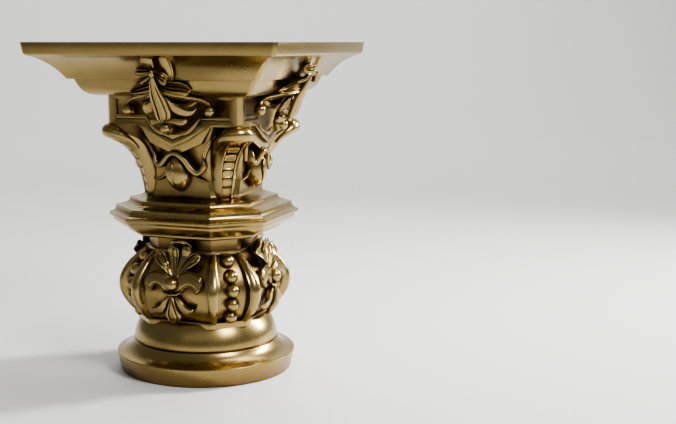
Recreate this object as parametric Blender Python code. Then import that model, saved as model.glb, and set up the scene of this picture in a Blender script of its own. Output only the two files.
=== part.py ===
"""Column capital, cast in one: square moulded abacus, panelled frieze, bell with corner brackets,
octagonal ring, beaded and ribbed drum, round base. Metres, +Z up, origin under the base's centre.
"""

import math

import bpy
from mathutils import Matrix, Vector

# Heights of the stages, from the floor up
DISC_HEIGHT = 0.0284
APRON_HEIGHT = 0.0166
TORUS_HEIGHT = 0.0408
FOOT_PLATE_HEIGHT = 0.0047
DRUM_HEIGHT = 0.1025
COLLAR_HEIGHT = 0.0050
NECK_HEIGHT = 0.0200
RING_HEIGHT = 0.0640
BELL_HEIGHT = 0.1065
FRIEZE_HEIGHT = 0.0432
OVOLO_HEIGHT = 0.0243
COVE_HEIGHT = 0.0353
SLAB_HEIGHT = 0.0187

# Half widths of the stages, from the axis to a main face
DISC_RADIUS = 0.1413
DISC_FOOT_RADIUS = 0.1345
TORUS_RADIUS = 0.1130
TORUS_TOP_RADIUS = 0.0990
FOOT_PLATE_HALF = 0.0935
DRUM_FOOT_HALF = 0.0910
DRUM_HALF = 0.1090
DRUM_TOP_HALF = 0.0780
COLLAR_HALF = 0.0805
NECK_HALF = 0.0740
RING_HALF = 0.1317
BELL_WAIST_HALF = 0.0785
BELL_TOP_HALF = 0.0980
BELL_FACE_HALF = 0.0425  # half width of the bell's main faces at mid height
BELL_TOP_FACE_HALF = 0.0610
FRIEZE_HALF = 0.1095
OVOLO_FOOT_HALF = 0.1180
COVE_FOOT_HALF = 0.1535
ABACUS_HALF = 0.2000

# Corners: how far the narrow faces stand out past the wide ones, and cut corners of the squares
OCTAGON_STEP = 0.0099
ABACUS_CHAMFER = 0.0050
FRIEZE_CHAMFER = 0.0060

# Frieze panel with its keel-shaped drop
PANEL_HALF = 0.0895
PANEL_DROP_HALF = 0.0445
PANEL_DROP = 0.0230
BAND_WIDTH = 0.0068
BAND_DEPTH = 0.0014
PANEL_DEPTH = 0.0040
SHIELD_MARGIN = 0.0070
GABLE_STEP = 0.0090

# Corner brackets and their coin strips
BRACKET_REACH = 0.1605
BRACKET_FOOT_WIDTH = 0.0190
BRACKET_LIP_WIDTH = 0.0320
BRACKET_WEB_WIDTH = 0.0180
BRACKET_FLARE = 0.0080  # how far each sloping cheek spreads at the foot
COIN_COUNT = 6
COIN_RISE = 0.0028

# Tulip bud and ogee hood on each face of the bell
BUD_WIDTH = 0.0350
BUD_HEIGHT = 0.0540
HOOD_HALF = 0.0400
HOOD_HEIGHT = 0.0360

# Spray that hangs from the slab over each side of the frieze
SPRAY_HEIGHT = 0.1080
STALK_BALL_RADIUS = 0.0080

# Drum ornament
RIB_WIDTH = 0.0150
RIB_RISE = 0.0095
RIB_SEAT = 0.0015  # how deep the rib's ends stand in the foot plate and the collar
DRUM_FACE_SHARE = 0.42  # half width of the drum's main faces: this share of its half width ...
DRUM_FACE_EXTRA = 0.0165  # ... and this much more
CHANNEL_SHARE = 0.80  # share of a narrow face that is sunk for the beads
CHANNEL_DEPTH = 0.0070
BEAD_COUNT = 5
BEAD_RADIUS = 0.0097
FLEUR_HEIGHT = 0.1190
FLEUR_RISE = 0.0090

ROUND_SIDES = 40
KEPT_SHARE = 0.52  # share of the triangles kept once everything is joined
ROOT = 0.0120  # how deep ornament reaches into the body behind it

DISC_TOP = DISC_HEIGHT
APRON_TOP = DISC_TOP + APRON_HEIGHT
TORUS_TOP = APRON_TOP + TORUS_HEIGHT
FOOT_PLATE_TOP = TORUS_TOP + FOOT_PLATE_HEIGHT
DRUM_TOP = FOOT_PLATE_TOP + DRUM_HEIGHT
COLLAR_TOP = DRUM_TOP + COLLAR_HEIGHT
NECK_TOP = COLLAR_TOP + NECK_HEIGHT
RING_TOP = NECK_TOP + RING_HEIGHT
BELL_TOP = RING_TOP + BELL_HEIGHT
FRIEZE_TOP = BELL_TOP + FRIEZE_HEIGHT
OVOLO_TOP = FRIEZE_TOP + OVOLO_HEIGHT
COVE_TOP = OVOLO_TOP + COVE_HEIGHT
TOP = COVE_TOP + SLAB_HEIGHT

FACE = Vector((0.0, -1.0, 0.0))


def clear_scene():
    for item in list(bpy.data.objects):
        bpy.data.objects.remove(item)


def bronze():
    material = bpy.data.materials.new("gilt_bronze")
    material.use_nodes = True
    shader = material.node_tree.nodes["Principled BSDF"]
    shader.inputs["Base Color"].default_value = (0.36, 0.25, 0.09, 1.0)
    shader.inputs["Metallic"].default_value = 1.0
    shader.inputs["Roughness"].default_value = 0.32
    return material


def curve(start, pull, end, steps):
    """Points of a curve that leaves start and reaches end aiming at pull. start is left out."""
    start, pull, end = Vector(start), Vector(pull), Vector(end)
    shares = [step / steps for step in range(1, steps + 1)]
    return [(1 - t) ** 2 * start + 2 * t * (1 - t) * pull + t ** 2 * end for t in shares]


def loft(rings, split=True):
    """Vertices and faces of a closed solid through rings of points, with flat ends. The bands
    between rings are split into triangles unless each one is known to be flat."""
    sides = len(rings[0])
    vertices = [point for ring in rings for point in ring]
    faces = []
    for first in range(0, len(vertices) - sides, sides):
        for side in range(sides):
            low, low_next = first + side, first + (side + 1) % sides
            high, high_next = low + sides, low_next + sides
            if split:
                faces += [(low, low_next, high_next), (low, high_next, high)]
            else:
                faces.append((low, low_next, high_next, high))
    faces.append(tuple(reversed(range(sides))))
    faces.append(tuple(range(len(vertices) - sides, len(vertices))))
    return vertices, faces


def eight_sides(half, flat, z):
    """The corners of a level with four wide faces at half from the axis, each 2 * flat wide."""
    corners = [(flat, -half), (half, -flat), (half, flat), (flat, half)]
    corners += [(-x, -y) for x, y in corners]
    return [Vector((x, y, z)) for x, y in corners]


def octagon(half, z):
    """A level of the octagonal stages, whose narrow faces stand OCTAGON_STEP farther out."""
    flat = math.sqrt(2) * (half + OCTAGON_STEP) - half
    return eight_sides(half, flat, z)


def drum_half(z):
    """Half width of the drum's core at a height: a barrel curve, held level past its ends."""
    t = min(max((z - FOOT_PLATE_TOP) / DRUM_HEIGHT, 0.0), 1.0)
    swell = 4 * (DRUM_HALF - (DRUM_FOOT_HALF + DRUM_TOP_HALF) / 2)
    return DRUM_FOOT_HALF * (1 - t) + DRUM_TOP_HALF * t + swell * t * (1 - t)


def drum_flat(z):
    """Half width of the drum's main faces at a height."""
    return DRUM_FACE_SHARE * drum_half(z) + DRUM_FACE_EXTRA


def drum_level(level, levels):
    """A height that is this level's share of the way up the drum."""
    return FOOT_PLATE_TOP + DRUM_HEIGHT * level / levels


def channel_floor(z):
    """How far the floor of a bead channel is from the axis, along the diagonal."""
    return (drum_half(z) + drum_flat(z)) * math.sqrt(0.5) - CHANNEL_DEPTH


def bell_half(z):
    """Half width of the bell's core at a height: a hollow curve from waist to top."""
    t = min(max((z - RING_TOP) / BELL_HEIGHT, 0.0), 1.0)
    return BELL_WAIST_HALF + (BELL_TOP_HALF - BELL_WAIST_HALF) * t ** 2


def bell_flat(z):
    """Half width of the bell's main faces at a height: narrow in the middle, wide at the top."""
    t = min(max((z - RING_TOP) / BELL_HEIGHT, 0.0), 1.0)
    foot = math.sqrt(2) * (BELL_WAIST_HALF + OCTAGON_STEP) - BELL_WAIST_HALF
    pull = 2 * BELL_FACE_HALF - (foot + BELL_TOP_FACE_HALF) / 2
    return (1 - t) ** 2 * foot + 2 * t * (1 - t) * pull + t ** 2 * BELL_TOP_FACE_HALF


def ring_profile():
    """Half width and height of the octagonal ring's edges, bottom to top."""
    def edge(out, up):
        return Vector((NECK_HALF + (RING_HALF - NECK_HALF) * out, NECK_TOP + RING_HEIGHT * up))
    lip, wide_low, wide, second, first = (edge(0.53, 0.05), edge(0.90, 0.32), edge(1.0, 0.42),
                                          edge(0.83, 0.64), edge(0.48, 0.82))
    step = Vector((0.0, 0.0022))
    points = [edge(0.40, 0.0), lip, lip + step]
    points += curve(lip + step, edge(0.74, 0.16), wide_low, 2)
    points += [wide_low + step, wide, wide + 2 * step]
    points += curve(wide + 2 * step, edge(0.83, 0.53), second, 3)
    points += [second + step]
    points += curve(second + step, edge(0.53, 0.70), first, 3)
    points += [first + step]
    points += curve(first + step, edge(0.14, 0.88), (BELL_WAIST_HALF, RING_TOP), 3)
    return points


def abacus_profile():
    """Half width and height of the abacus's edges, bottom to top."""
    fillet = Vector((COVE_FOOT_HALF - 0.0085, OVOLO_TOP))
    foot = Vector((OVOLO_FOOT_HALF, FRIEZE_TOP))
    cove_foot = Vector((COVE_FOOT_HALF, OVOLO_TOP + 0.0006))
    cove_lip = Vector((ABACUS_HALF - 0.0050, COVE_TOP))
    points = [foot]
    points += curve(foot, (fillet.x - 0.0065, FRIEZE_TOP), fillet, 4)
    points += [cove_foot]
    points += curve(cove_foot, (0.6 * cove_foot.x + 0.4 * cove_lip.x, COVE_TOP - 0.0075), cove_lip, 5)
    points += [Vector((ABACUS_HALF - 0.0025, COVE_TOP + 0.0025)), Vector((ABACUS_HALF, TOP))]
    return points


def base_profile():
    """Radius and height of the round base, floor to top."""
    lip = Vector((TORUS_RADIUS + 0.0020, APRON_TOP))
    rim = Vector((DISC_RADIUS - 0.0018, DISC_TOP + 0.0010))
    groove = Vector((TORUS_RADIUS - 0.0020, APRON_TOP + 0.0022))
    swell = Vector((TORUS_RADIUS, APRON_TOP + 0.0060))
    points = [Vector((DISC_FOOT_RADIUS, 0.0)), Vector((DISC_RADIUS, DISC_TOP - 0.0012)), rim]
    points += curve(rim, (lip.x + 0.008, DISC_TOP + 0.0035), lip, 3)
    points += [lip + Vector((-0.0006, 0.0014)), groove, swell]
    points += curve(swell, (TORUS_RADIUS - 0.0005, APRON_TOP + 0.6 * TORUS_HEIGHT),
                    (TORUS_TOP_RADIUS, TORUS_TOP + 0.5 * FOOT_PLATE_HEIGHT), 5)
    return points


def core():
    """The plain body: every octagonal and square stage, one level above the other."""
    levels = [octagon(FOOT_PLATE_HALF, TORUS_TOP), octagon(FOOT_PLATE_HALF, FOOT_PLATE_TOP)]
    for level in range(9):
        z = drum_level(level, 8)
        levels.append(eight_sides(drum_half(z), drum_flat(z), z))
    levels += [octagon(COLLAR_HALF, DRUM_TOP), octagon(COLLAR_HALF, COLLAR_TOP)]
    levels += [octagon(NECK_HALF, COLLAR_TOP), octagon(NECK_HALF, NECK_TOP)]
    levels += [octagon(point.x, point.y) for point in ring_profile()]
    for step in range(1, 6):
        z = RING_TOP + BELL_HEIGHT * step / 5
        levels.append(eight_sides(bell_half(z), bell_flat(z), z))
    flat = FRIEZE_HALF - FRIEZE_CHAMFER
    levels += [eight_sides(FRIEZE_HALF, flat, BELL_TOP), eight_sides(FRIEZE_HALF, flat, FRIEZE_TOP)]
    for point in abacus_profile():
        levels.append(eight_sides(point.x, point.x - ABACUS_CHAMFER, point.y))
    return loft(levels, split=False)


def round_base():
    rings = []
    for point in base_profile():
        angles = [2 * math.pi * side / ROUND_SIDES for side in range(ROUND_SIDES)]
        rings.append([Vector((point.x * math.cos(a), point.x * math.sin(a), point.y)) for a in angles])
    return loft(rings, split=False)


def plate(outline, back, front):
    """A flat plate in front of a main face: an outline of (across, height), from back to front."""
    return loft([[Vector((u, -out, z)) for u, z in outline] for out in (back, front)], split=False)


def both_sides(outline):
    """An outline that is given from its left end to its middle, made whole by its mirror image."""
    return outline + [(-u, z) for u, z in reversed(outline) if u]


def bar(stations, sides=5, outward=FACE):
    """A leaf-like bar. Each station is a centre, a half width and a half thickness."""
    rings = []
    last = len(stations) - 1
    for index, (centre, half_width, half_thickness) in enumerate(stations):
        along = stations[min(index + 1, last)][0] - stations[max(index - 1, 0)][0]
        across = along.cross(outward).normalized()
        out = across.cross(along).normalized()
        turns = [2 * math.pi * (side + 0.5) / sides for side in range(sides)]
        rings.append([centre + across * half_width * math.cos(a) + out * half_thickness * math.sin(a)
                      for a in turns])
    return loft(rings)


def ball(centre, radius, sides=8):
    """A low ball of rings about the vertical, with flat poles."""
    rings = []
    levels = sides // 2 + 1
    for level in range(1, levels):
        tilt = math.pi * (level / levels - 0.5)
        turns = [2 * math.pi * side / sides for side in range(sides)]
        rings.append([centre + radius * Vector((math.cos(tilt) * math.cos(a),
                                                math.cos(tilt) * math.sin(a),
                                                math.sin(tilt))) for a in turns])
    return loft(rings)


def mirrored(stations):
    return [(Vector((-centre.x, centre.y, centre.z)), *rest) for centre, *rest in stations]


def drop_outline(top, grow):
    """The panel's lower edge with its keel-shaped drop, left to middle, widened by grow."""
    low = BELL_TOP + 0.0083 - grow
    knee = PANEL_DROP_HALF + 0.25 * grow
    tip = low - PANEL_DROP - BAND_WIDTH - 0.25 * grow
    outline = [(-PANEL_HALF, top), (-PANEL_HALF, low), (-knee, low)]
    outline += [tuple(point) for point in curve((-knee, low), (-0.72 * knee, low - 0.78 * (low - tip)),
                                                (-0.35 * knee, low - 0.80 * (low - tip)), 3)]
    return outline + [(0.0, tip)]


def shields():
    """Plates behind the drop: one flush with the frieze, and a gable step under it."""
    low = BELL_TOP + 0.0010
    wide, tip = PANEL_DROP_HALF + 2.2 * SHIELD_MARGIN, BELL_TOP - PANEL_DROP - 1.1 * SHIELD_MARGIN
    outline = [(-wide, low), (-0.78 * wide, BELL_TOP - 0.0063)]
    outline += [(-0.42 * wide, BELL_TOP - 0.0200), (0.0, tip)]
    front = plate(both_sides(outline), BELL_TOP_HALF - ROOT, FRIEZE_HALF + 0.0004)
    gable = [(-wide, low + 0.001), (-0.70 * wide, BELL_TOP - 0.0260), (0.0, tip - 0.0130)]
    back = plate(both_sides(gable), BELL_WAIST_HALF, FRIEZE_HALF - GABLE_STEP)
    return [front, back]


def panel_cutters():
    """The sunk band and the deeper panel inside it, with the keel-shaped drop."""
    top = FRIEZE_TOP - 0.0040
    outer = plate(both_sides(drop_outline(top, 0.0)), FRIEZE_HALF - BAND_DEPTH, FRIEZE_HALF + ROOT)
    inner = plate(both_sides(drop_outline(top - 0.0010, -BAND_WIDTH)),
                  FRIEZE_HALF - PANEL_DEPTH, FRIEZE_HALF + ROOT)
    return [outer, inner]


def channel_cutter():
    """The sunk channel of a narrow face of the drum, between two ribs."""
    rings = []
    for level in range(9):
        z = drum_level(level, 8)
        half = CHANNEL_SHARE * (drum_half(z) - drum_flat(z)) * math.sqrt(0.5)
        floor = channel_floor(z)
        outside = floor + 2 * ROOT
        rings.append([on_diagonal(side, reach, z) for side, reach in
                      ((-half, floor), (half, floor), (half, outside), (-half, outside))])
    return loft(rings, split=False)


def spray_point(across, reach, drop):
    """A point of the spray. across and drop are shares of its height; reach runs from the
    frieze's face (0) to the abacus's edge (1)."""
    out = FRIEZE_HALF + reach * (ABACUS_HALF - FRIEZE_HALF)
    return Vector((across * SPRAY_HEIGHT, -out, COVE_TOP + 0.002 - drop * SPRAY_HEIGHT))


def spray_bar(stations):
    """Stations of a bar of the spray: across, reach, drop, half width and half thickness."""
    unit = SPRAY_HEIGHT
    return [(spray_point(across, reach, drop), width * unit, thickness * unit)
            for across, reach, drop, width, thickness in stations]


def spray():
    """Keel, twin stem, ribbed bow, teardrop pendant, curling leaves and stalks with balls."""
    keel = [(0.86, -0.04), (0.80, 0.20), (0.64, 0.30), (0.50, 0.52), (0.34, 0.80), (0.20, 0.92),
            (-0.12, 0.86), (-0.12, 0.50), (0.10, 0.46), (0.30, 0.22), (0.55, -0.04)]
    sides = []
    for across in (-0.075, 0.075):
        sides.append([spray_point(across, reach, drop) for reach, drop in keel])
    pieces = [loft(sides, split=False)]
    left_stem = spray_bar([(-0.10, 0.84, -0.03, 0.07, 0.08), (-0.11, 0.78, 0.13, 0.07, 0.07),
                           (-0.06, 0.70, 0.25, 0.03, 0.04)])
    right_stem = spray_bar([(0.19, 0.86, -0.03, 0.08, 0.08), (0.20, 0.78, 0.15, 0.075, 0.075),
                            (0.16, 0.66, 0.32, 0.03, 0.04)])
    left_bow = spray_bar([(-0.02, 0.66, 0.28, 0.03, 0.05), (-0.12, 0.64, 0.20, 0.09, 0.06),
                          (-0.20, 0.62, 0.16, 0.04, 0.04)])
    right_bow = spray_bar([(0.02, 0.62, 0.28, 0.03, 0.05), (0.13, 0.56, 0.31, 0.09, 0.07),
                           (0.19, 0.50, 0.42, 0.03, 0.04)])
    low_leaf = spray_bar([(0.04, 0.48, 0.36, 0.04, 0.06), (0.18, 0.44, 0.46, 0.10, 0.06),
                          (0.36, 0.34, 0.56, 0.05, 0.04)])
    pendant = spray_bar([(0.0, 0.66, 0.26, 0.03, 0.04), (0.0, 0.50, 0.45, 0.07, 0.05),
                         (0.0, 0.38, 0.66, 0.105, 0.05), (0.0, 0.32, 0.80, 0.10, 0.05),
                         (0.0, 0.28, 0.88, 0.04, 0.03)])
    leaf = spray_bar([(0.05, 0.40, 0.48, 0.05, 0.05), (0.15, 0.30, 0.64, 0.08, 0.07),
                      (0.27, 0.20, 0.73, 0.09, 0.09), (0.36, 0.16, 0.71, 0.05, 0.06),
                      (0.38, 0.18, 0.64, 0.02, 0.03)])
    stalk = spray_bar([(0.05, 0.36, 0.50, 0.035, 0.05), (0.26, 0.16, 0.53, 0.035, 0.06),
                       (0.48, 0.10, 0.56, 0.035, 0.07), (0.61, 0.08, 0.66, 0.03, 0.06)])
    pieces += [bar(shape) for shape in (left_stem, right_stem, left_bow, right_bow, pendant)]
    pieces += [bar(side) for shape in (low_leaf, leaf) for side in (shape, mirrored(shape))]
    pieces += [bar(side, 4) for side in (stalk, mirrored(stalk))]
    for across in (-0.61, 0.61):
        pieces.append(ball(spray_point(across, 0.10, 0.70), STALK_BALL_RADIUS))
    pieces.append(ball(spray_point(0.0, 0.20, 0.94), 0.9 * STALK_BALL_RADIUS))
    return pieces


def bell_point(across, lift, up):
    """A point in front of the bell, at a share up its height."""
    z = RING_TOP + up * BELL_HEIGHT
    return Vector((across, -bell_half(z) - lift, z))


def bud_and_hood():
    """A tulip bud hanging point down, and the ogee hood that springs over it."""
    half = BUD_WIDTH / 2
    top, bottom = 0.55, 0.55 - BUD_HEIGHT / BELL_HEIGHT
    shape = [(0.0, 0.40), (0.07, 0.75), (0.26, 1.0), (0.52, 0.94), (0.80, 0.52), (1.0, 0.06)]
    bud = [(bell_point(0.0, 0.004, top + (bottom - top) * down), half * girth, 0.95 * half * girth)
           for down, girth in shape]
    path = [(0.0, 1.0), (0.24, 0.92), (0.42, 0.62), (0.58, 0.30), (0.80, 0.16), (0.96, 0.36),
            (0.99, 0.85)]
    widths = [0.0045, 0.0050, 0.0050, 0.0055, 0.0065, 0.0045, 0.0018]
    foot = top + 0.05 - HOOD_HEIGHT / BELL_HEIGHT
    arm = []
    for (across, up), width in zip(path, widths):
        lift = 0.010 - 0.004 * across
        centre = bell_point(across * HOOD_HALF, lift, foot + up * HOOD_HEIGHT / BELL_HEIGHT)
        arm.append((centre, width, 0.011))
    hood = list(reversed(mirrored(arm[1:]))) + arm
    return [bar(bud, 8), bar(hood, 5)]


def on_diagonal(across, reach, z):
    """A point on the corner between the front (-Y) and the right (+X) face."""
    turn = math.sqrt(0.5)
    return Vector((turn * (across + reach), turn * (across - reach), z))


def bracket_front():
    """Reach and height of the strap's front, from its foot to the start of the lip."""
    foot = Vector((BELL_WAIST_HALF + 0.0160, RING_TOP - 0.002))
    lip = Vector((BRACKET_REACH - 0.0125, BELL_TOP - 0.0255))
    return [foot] + curve(foot, (foot.x + 0.0065, BELL_TOP - 0.041), lip, 7)


def corner_bracket():
    """A strap with sloping cheeks that leans out to a rolled lip, a web behind it, and coins."""
    front = bracket_front()
    low, high = front[0].y, BELL_TOP
    heel = Vector((BELL_WAIST_HALF + 0.0040, low))
    neck = Vector((BRACKET_REACH - 0.0200, BELL_TOP - 0.0128))
    back = [heel] + curve(heel, (heel.x + 0.004, BELL_TOP - 0.0165), neck, 7)
    lip = [((-0.0030, -0.0205), (-0.0185, -0.0075)), ((0.0, -0.0125), (-0.0165, -0.0030)),
           ((-0.0025, -0.0045), (-0.0130, -0.0020)), ((-0.0075, 0.0006), (-0.0110, 0.0004))]
    for outer, inner in lip:
        front.append(Vector((BRACKET_REACH, BELL_TOP)) + Vector(outer))
        back.append(Vector((BRACKET_REACH, BELL_TOP)) + Vector(inner))
    sections = []
    for before, behind in zip(front, back):
        share = (before.y - low) / (high - low)
        half = (BRACKET_FOOT_WIDTH + (BRACKET_LIP_WIDTH - BRACKET_FOOT_WIDTH) * share) / 2
        flare = min(BRACKET_FLARE * (1 + 0.75 * share), 0.7 * (before - behind).length)
        sections.append([on_diagonal(-half, before.x, before.y), on_diagonal(half, before.x, before.y),
                         on_diagonal(half + flare, behind.x, behind.y),
                         on_diagonal(-half - flare, behind.x, behind.y)])
    pieces = [loft(sections)]
    web = [behind.lerp(before, 0.35) for before, behind in zip(front[2:8], back[2:8])]
    web += [Vector((neck.x + 0.006, BELL_TOP + 0.001)), Vector((back[2].x - 0.02, BELL_TOP + 0.001))]
    pieces.append(loft([[on_diagonal(side * BRACKET_WEB_WIDTH, point.x, point.y) for point in web]
                        for side in (-0.5, 0.5)], split=False))
    strip = bracket_front()
    for coin in range(COIN_COUNT):
        at = (coin + 1.0) / (COIN_COUNT + 0.6) * (len(strip) - 1)
        index = min(int(at), len(strip) - 2)
        centre = strip[index].lerp(strip[index + 1], at - index)
        along = (strip[index + 1] - strip[index]).normalized()
        normal = Vector((along.y, -along.x))
        share = (centre.y - low) / (high - low)
        half = 0.42 * (BRACKET_FOOT_WIDTH + (BRACKET_LIP_WIDTH - BRACKET_FOOT_WIDTH) * share)
        pitch = 0.54 * (strip[-1] - strip[0]).length / (COIN_COUNT + 0.6)
        rings = []
        for rise, size in ((-0.003, 1.0), (COIN_RISE, 0.80)):
            ring = []
            for side, end in ((-1, -1), (1, -1), (1, 1), (-1, 1)):
                point = centre + along * end * pitch * size + normal * rise
                ring.append(on_diagonal(side * half * size, point.x, point.y))
            rings.append(ring)
        pieces.append(loft(rings))
    return pieces


def rib(side):
    """A bar down one edge of the drum, swelling at its middle."""
    stations = []
    steps = 7
    for step in range(steps + 1):
        share = step / steps
        z = drum_level(step, steps) + (share - 0.5) * 2 * RIB_SEAT
        swell = math.sin(math.pi * share)
        edge = Vector((side * drum_flat(z), -drum_half(z), z))
        outward = Vector((edge.x, edge.y, 0.0)).normalized()
        centre = edge + outward * (RIB_RISE * (0.15 + 0.85 * swell) - 0.006)
        stations.append((centre, outward, RIB_WIDTH * (0.28 + 0.26 * swell)))
    rings = []
    for centre, outward, half_width in stations:
        across = Vector((-outward.y, outward.x, 0.0))
        section = [(-1.0, -0.004), (-1.0, 0.0025), (-0.45, 0.006), (0.45, 0.006), (1.0, 0.0025),
                   (1.0, -0.004)]
        rings.append([centre + across * half_width * u + outward * out for u, out in section])
    return loft(rings)


def bead_column():
    """Touching beads down the narrow face of the drum."""
    pieces = []
    pitch = (DRUM_HEIGHT - 2 * BEAD_RADIUS + 0.001) / (BEAD_COUNT - 1)
    for bead in range(BEAD_COUNT):
        z = FOOT_PLATE_TOP + BEAD_RADIUS - 0.0005 + bead * pitch
        pieces.append(ball(on_diagonal(0.0, channel_floor(z) + 0.4 * BEAD_RADIUS, z), BEAD_RADIUS))
    return pieces


def fleur_point(across, up, lift):
    """A point of the fleur: across and up in shares of its height from the boss, lift in metres."""
    boss = FOOT_PLATE_TOP + 0.60 * DRUM_HEIGHT
    z = boss + up * FLEUR_HEIGHT
    return Vector((across * FLEUR_HEIGHT, -drum_half(z) - lift, z))


def fleur_bar(stations):
    unit = FLEUR_HEIGHT
    return [(fleur_point(across, up, FLEUR_RISE * lift), width * unit, thickness * unit)
            for across, up, lift, width, thickness in stations]


def fleur():
    """A fleur-de-lis: fan of petals, boss, two curling wings, band and three-lobed tail."""
    pieces = []
    petals = [(-42, 0.44, 0.085), (-20, 0.48, 0.075), (0, 0.49, 0.085), (20, 0.48, 0.075),
              (42, 0.44, 0.085)]
    for turn, length, width in petals:
        sine, cosine = math.sin(math.radians(turn)), math.cos(math.radians(turn))
        shape = [(0.05, 0.25, 0.5), (0.45, 0.60, 0.9), (0.80, 1.0, 1.6), (0.97, 0.45, 2.2)]
        stations = [(share * length * sine, share * length * cosine, lift, width * girth, 0.055)
                    for share, girth, lift in shape]
        pieces.append(bar(fleur_bar(stations)))
    wing = fleur_bar([(0.04, 0.02, 0.3, 0.06, 0.09), (0.15, 0.09, 0.6, 0.10, 0.10),
                      (0.27, 0.10, 0.8, 0.10, 0.10), (0.35, 0.03, 0.6, 0.075, 0.10),
                      (0.36, -0.06, 0.4, 0.045, 0.09), (0.32, -0.12, 0.3, 0.012, 0.07)])
    lobe = fleur_bar([(0.03, -0.10, 0.3, 0.03, 0.09), (0.08, -0.24, 0.3, 0.05, 0.09),
                      (0.17, -0.34, 0.3, 0.06, 0.09), (0.27, -0.36, 0.3, 0.04, 0.08),
                      (0.31, -0.31, 0.3, 0.015, 0.06)])
    tail = fleur_bar([(0.0, -0.08, 0.6, 0.03, 0.07), (0.0, -0.28, 0.9, 0.065, 0.08),
                      (0.0, -0.44, 1.0, 0.075, 0.08), (0.0, -0.52, 1.0, 0.02, 0.05)])
    band = fleur_bar([(-0.13, -0.105, 0.7, 0.028, 0.07), (0.0, -0.125, 1.1, 0.034, 0.07),
                      (0.13, -0.105, 0.7, 0.028, 0.07)])
    for shape in (wing, lobe):
        pieces += [bar(shape), bar(mirrored(shape))]
    pieces += [bar(tail), bar(band)]
    pieces.append(ball(fleur_point(0.0, 0.0, 0.9 * FLEUR_RISE), 0.080 * FLEUR_HEIGHT))
    return pieces


def four_times(pieces):
    """The same closed pieces on all four sides."""
    copies = []
    for quarter in range(4):
        turn = Matrix.Rotation(quarter * math.pi / 2, 3, "Z")
        copies += [([turn @ vertex for vertex in vertices], faces) for vertices, faces in pieces]
    return copies


def make_object(name, pieces, material=None):
    """One object from closed pieces, with every face turned outward."""
    vertices, faces = [], []
    for piece_vertices, piece_faces in pieces:
        first = len(vertices)
        vertices += piece_vertices
        volume = 0.0
        for face in piece_faces:
            for index in range(1, len(face) - 1):
                a, b, c = (piece_vertices[face[k]] for k in (0, index, index + 1))
                volume += a.cross(b).dot(c)
        turned = piece_faces if volume > 0 else [tuple(reversed(face)) for face in piece_faces]
        faces += [tuple(first + corner for corner in face) for face in turned]
    mesh = bpy.data.meshes.new(name)
    mesh.from_pydata(vertices, [], faces)
    if material:
        mesh.materials.append(material)
    made = bpy.data.objects.new(name, mesh)
    bpy.context.collection.objects.link(made)
    return made


def helper(name, pieces):
    """A shape that a Boolean uses and that isn't a piece itself."""
    made = make_object(name, pieces)
    made.hide_render = True
    made.display_type = "WIRE"
    return made


def keep_edges(made):
    """Mark a plain, moulded shape, whose edges stay exactly as drawn."""
    group = made.vertex_groups.new(name="moulded")
    group.add(range(len(made.data.vertices)), 1.0, "REPLACE")
    return made


def combine(body, other, operation, name):
    modifier = body.modifiers.new(name, "BOOLEAN")
    modifier.operation = operation
    modifier.object = other
    modifier.solver = "EXACT"
    modifier.use_self = True


def thin(body):
    """Merge the slivers that the unions leave in the ornament, away from the mouldings."""
    merge = body.modifiers.new("fewer triangles", "DECIMATE")
    merge.ratio = KEPT_SHARE
    merge.vertex_group = "moulded"
    merge.invert_vertex_group = True
    merge.use_collapse_triangulate = True
    weld = body.modifiers.new("close seams", "WELD")
    weld.merge_threshold = 0.00005


def main():
    clear_scene()
    capital = keep_edges(make_object("capital", [core()], bronze()))
    combine(capital, keep_edges(helper("base", [round_base()])), "UNION", "round base")
    combine(capital, keep_edges(helper("shields", four_times(shields()))), "UNION", "shields")
    sunk = keep_edges(helper("sunk", four_times(panel_cutters() + [channel_cutter()])))
    combine(capital, sunk, "DIFFERENCE", "panels and channels")
    ornament = spray() + bud_and_hood() + corner_bracket() + bead_column() + fleur()
    ornament += [rib(-1), rib(1)]
    combine(capital, helper("ornament", four_times(ornament)), "UNION", "ornament")
    thin(capital)


main()
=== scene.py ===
# %% [markdown]
# # A gilt column capital
# The capital is one metal casting: a square moulded top, a frieze, a bell with four brackets, an
# eight-sided ring, a swelling drum with beads and lilies, and a round base. It could be sculpted or
# scanned. Here every part is drawn out of one flat face, because that is how a founder's pattern
# maker thinks of it: a section, carried along a line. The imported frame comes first, because all
# sizes come from it.

# %% Load the frame
import math

import bmesh
import bpy
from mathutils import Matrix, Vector


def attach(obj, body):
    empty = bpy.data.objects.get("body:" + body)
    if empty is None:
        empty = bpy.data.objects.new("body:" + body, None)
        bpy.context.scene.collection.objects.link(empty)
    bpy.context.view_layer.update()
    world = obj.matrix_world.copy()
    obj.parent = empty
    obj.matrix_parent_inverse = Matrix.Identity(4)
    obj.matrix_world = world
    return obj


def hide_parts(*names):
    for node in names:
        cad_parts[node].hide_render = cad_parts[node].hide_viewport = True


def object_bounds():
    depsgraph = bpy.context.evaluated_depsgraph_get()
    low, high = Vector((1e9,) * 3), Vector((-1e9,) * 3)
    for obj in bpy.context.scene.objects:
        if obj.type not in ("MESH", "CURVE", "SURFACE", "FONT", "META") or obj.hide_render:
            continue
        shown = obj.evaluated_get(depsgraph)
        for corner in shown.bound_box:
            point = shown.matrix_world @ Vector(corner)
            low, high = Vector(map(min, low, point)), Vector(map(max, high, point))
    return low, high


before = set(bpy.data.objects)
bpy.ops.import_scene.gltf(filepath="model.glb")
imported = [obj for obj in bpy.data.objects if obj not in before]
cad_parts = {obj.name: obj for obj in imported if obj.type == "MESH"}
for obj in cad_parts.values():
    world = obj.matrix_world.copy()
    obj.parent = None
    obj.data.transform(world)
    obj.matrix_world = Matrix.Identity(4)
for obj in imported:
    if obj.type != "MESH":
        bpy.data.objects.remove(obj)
cad_box = [list(corner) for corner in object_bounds()]
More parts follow.
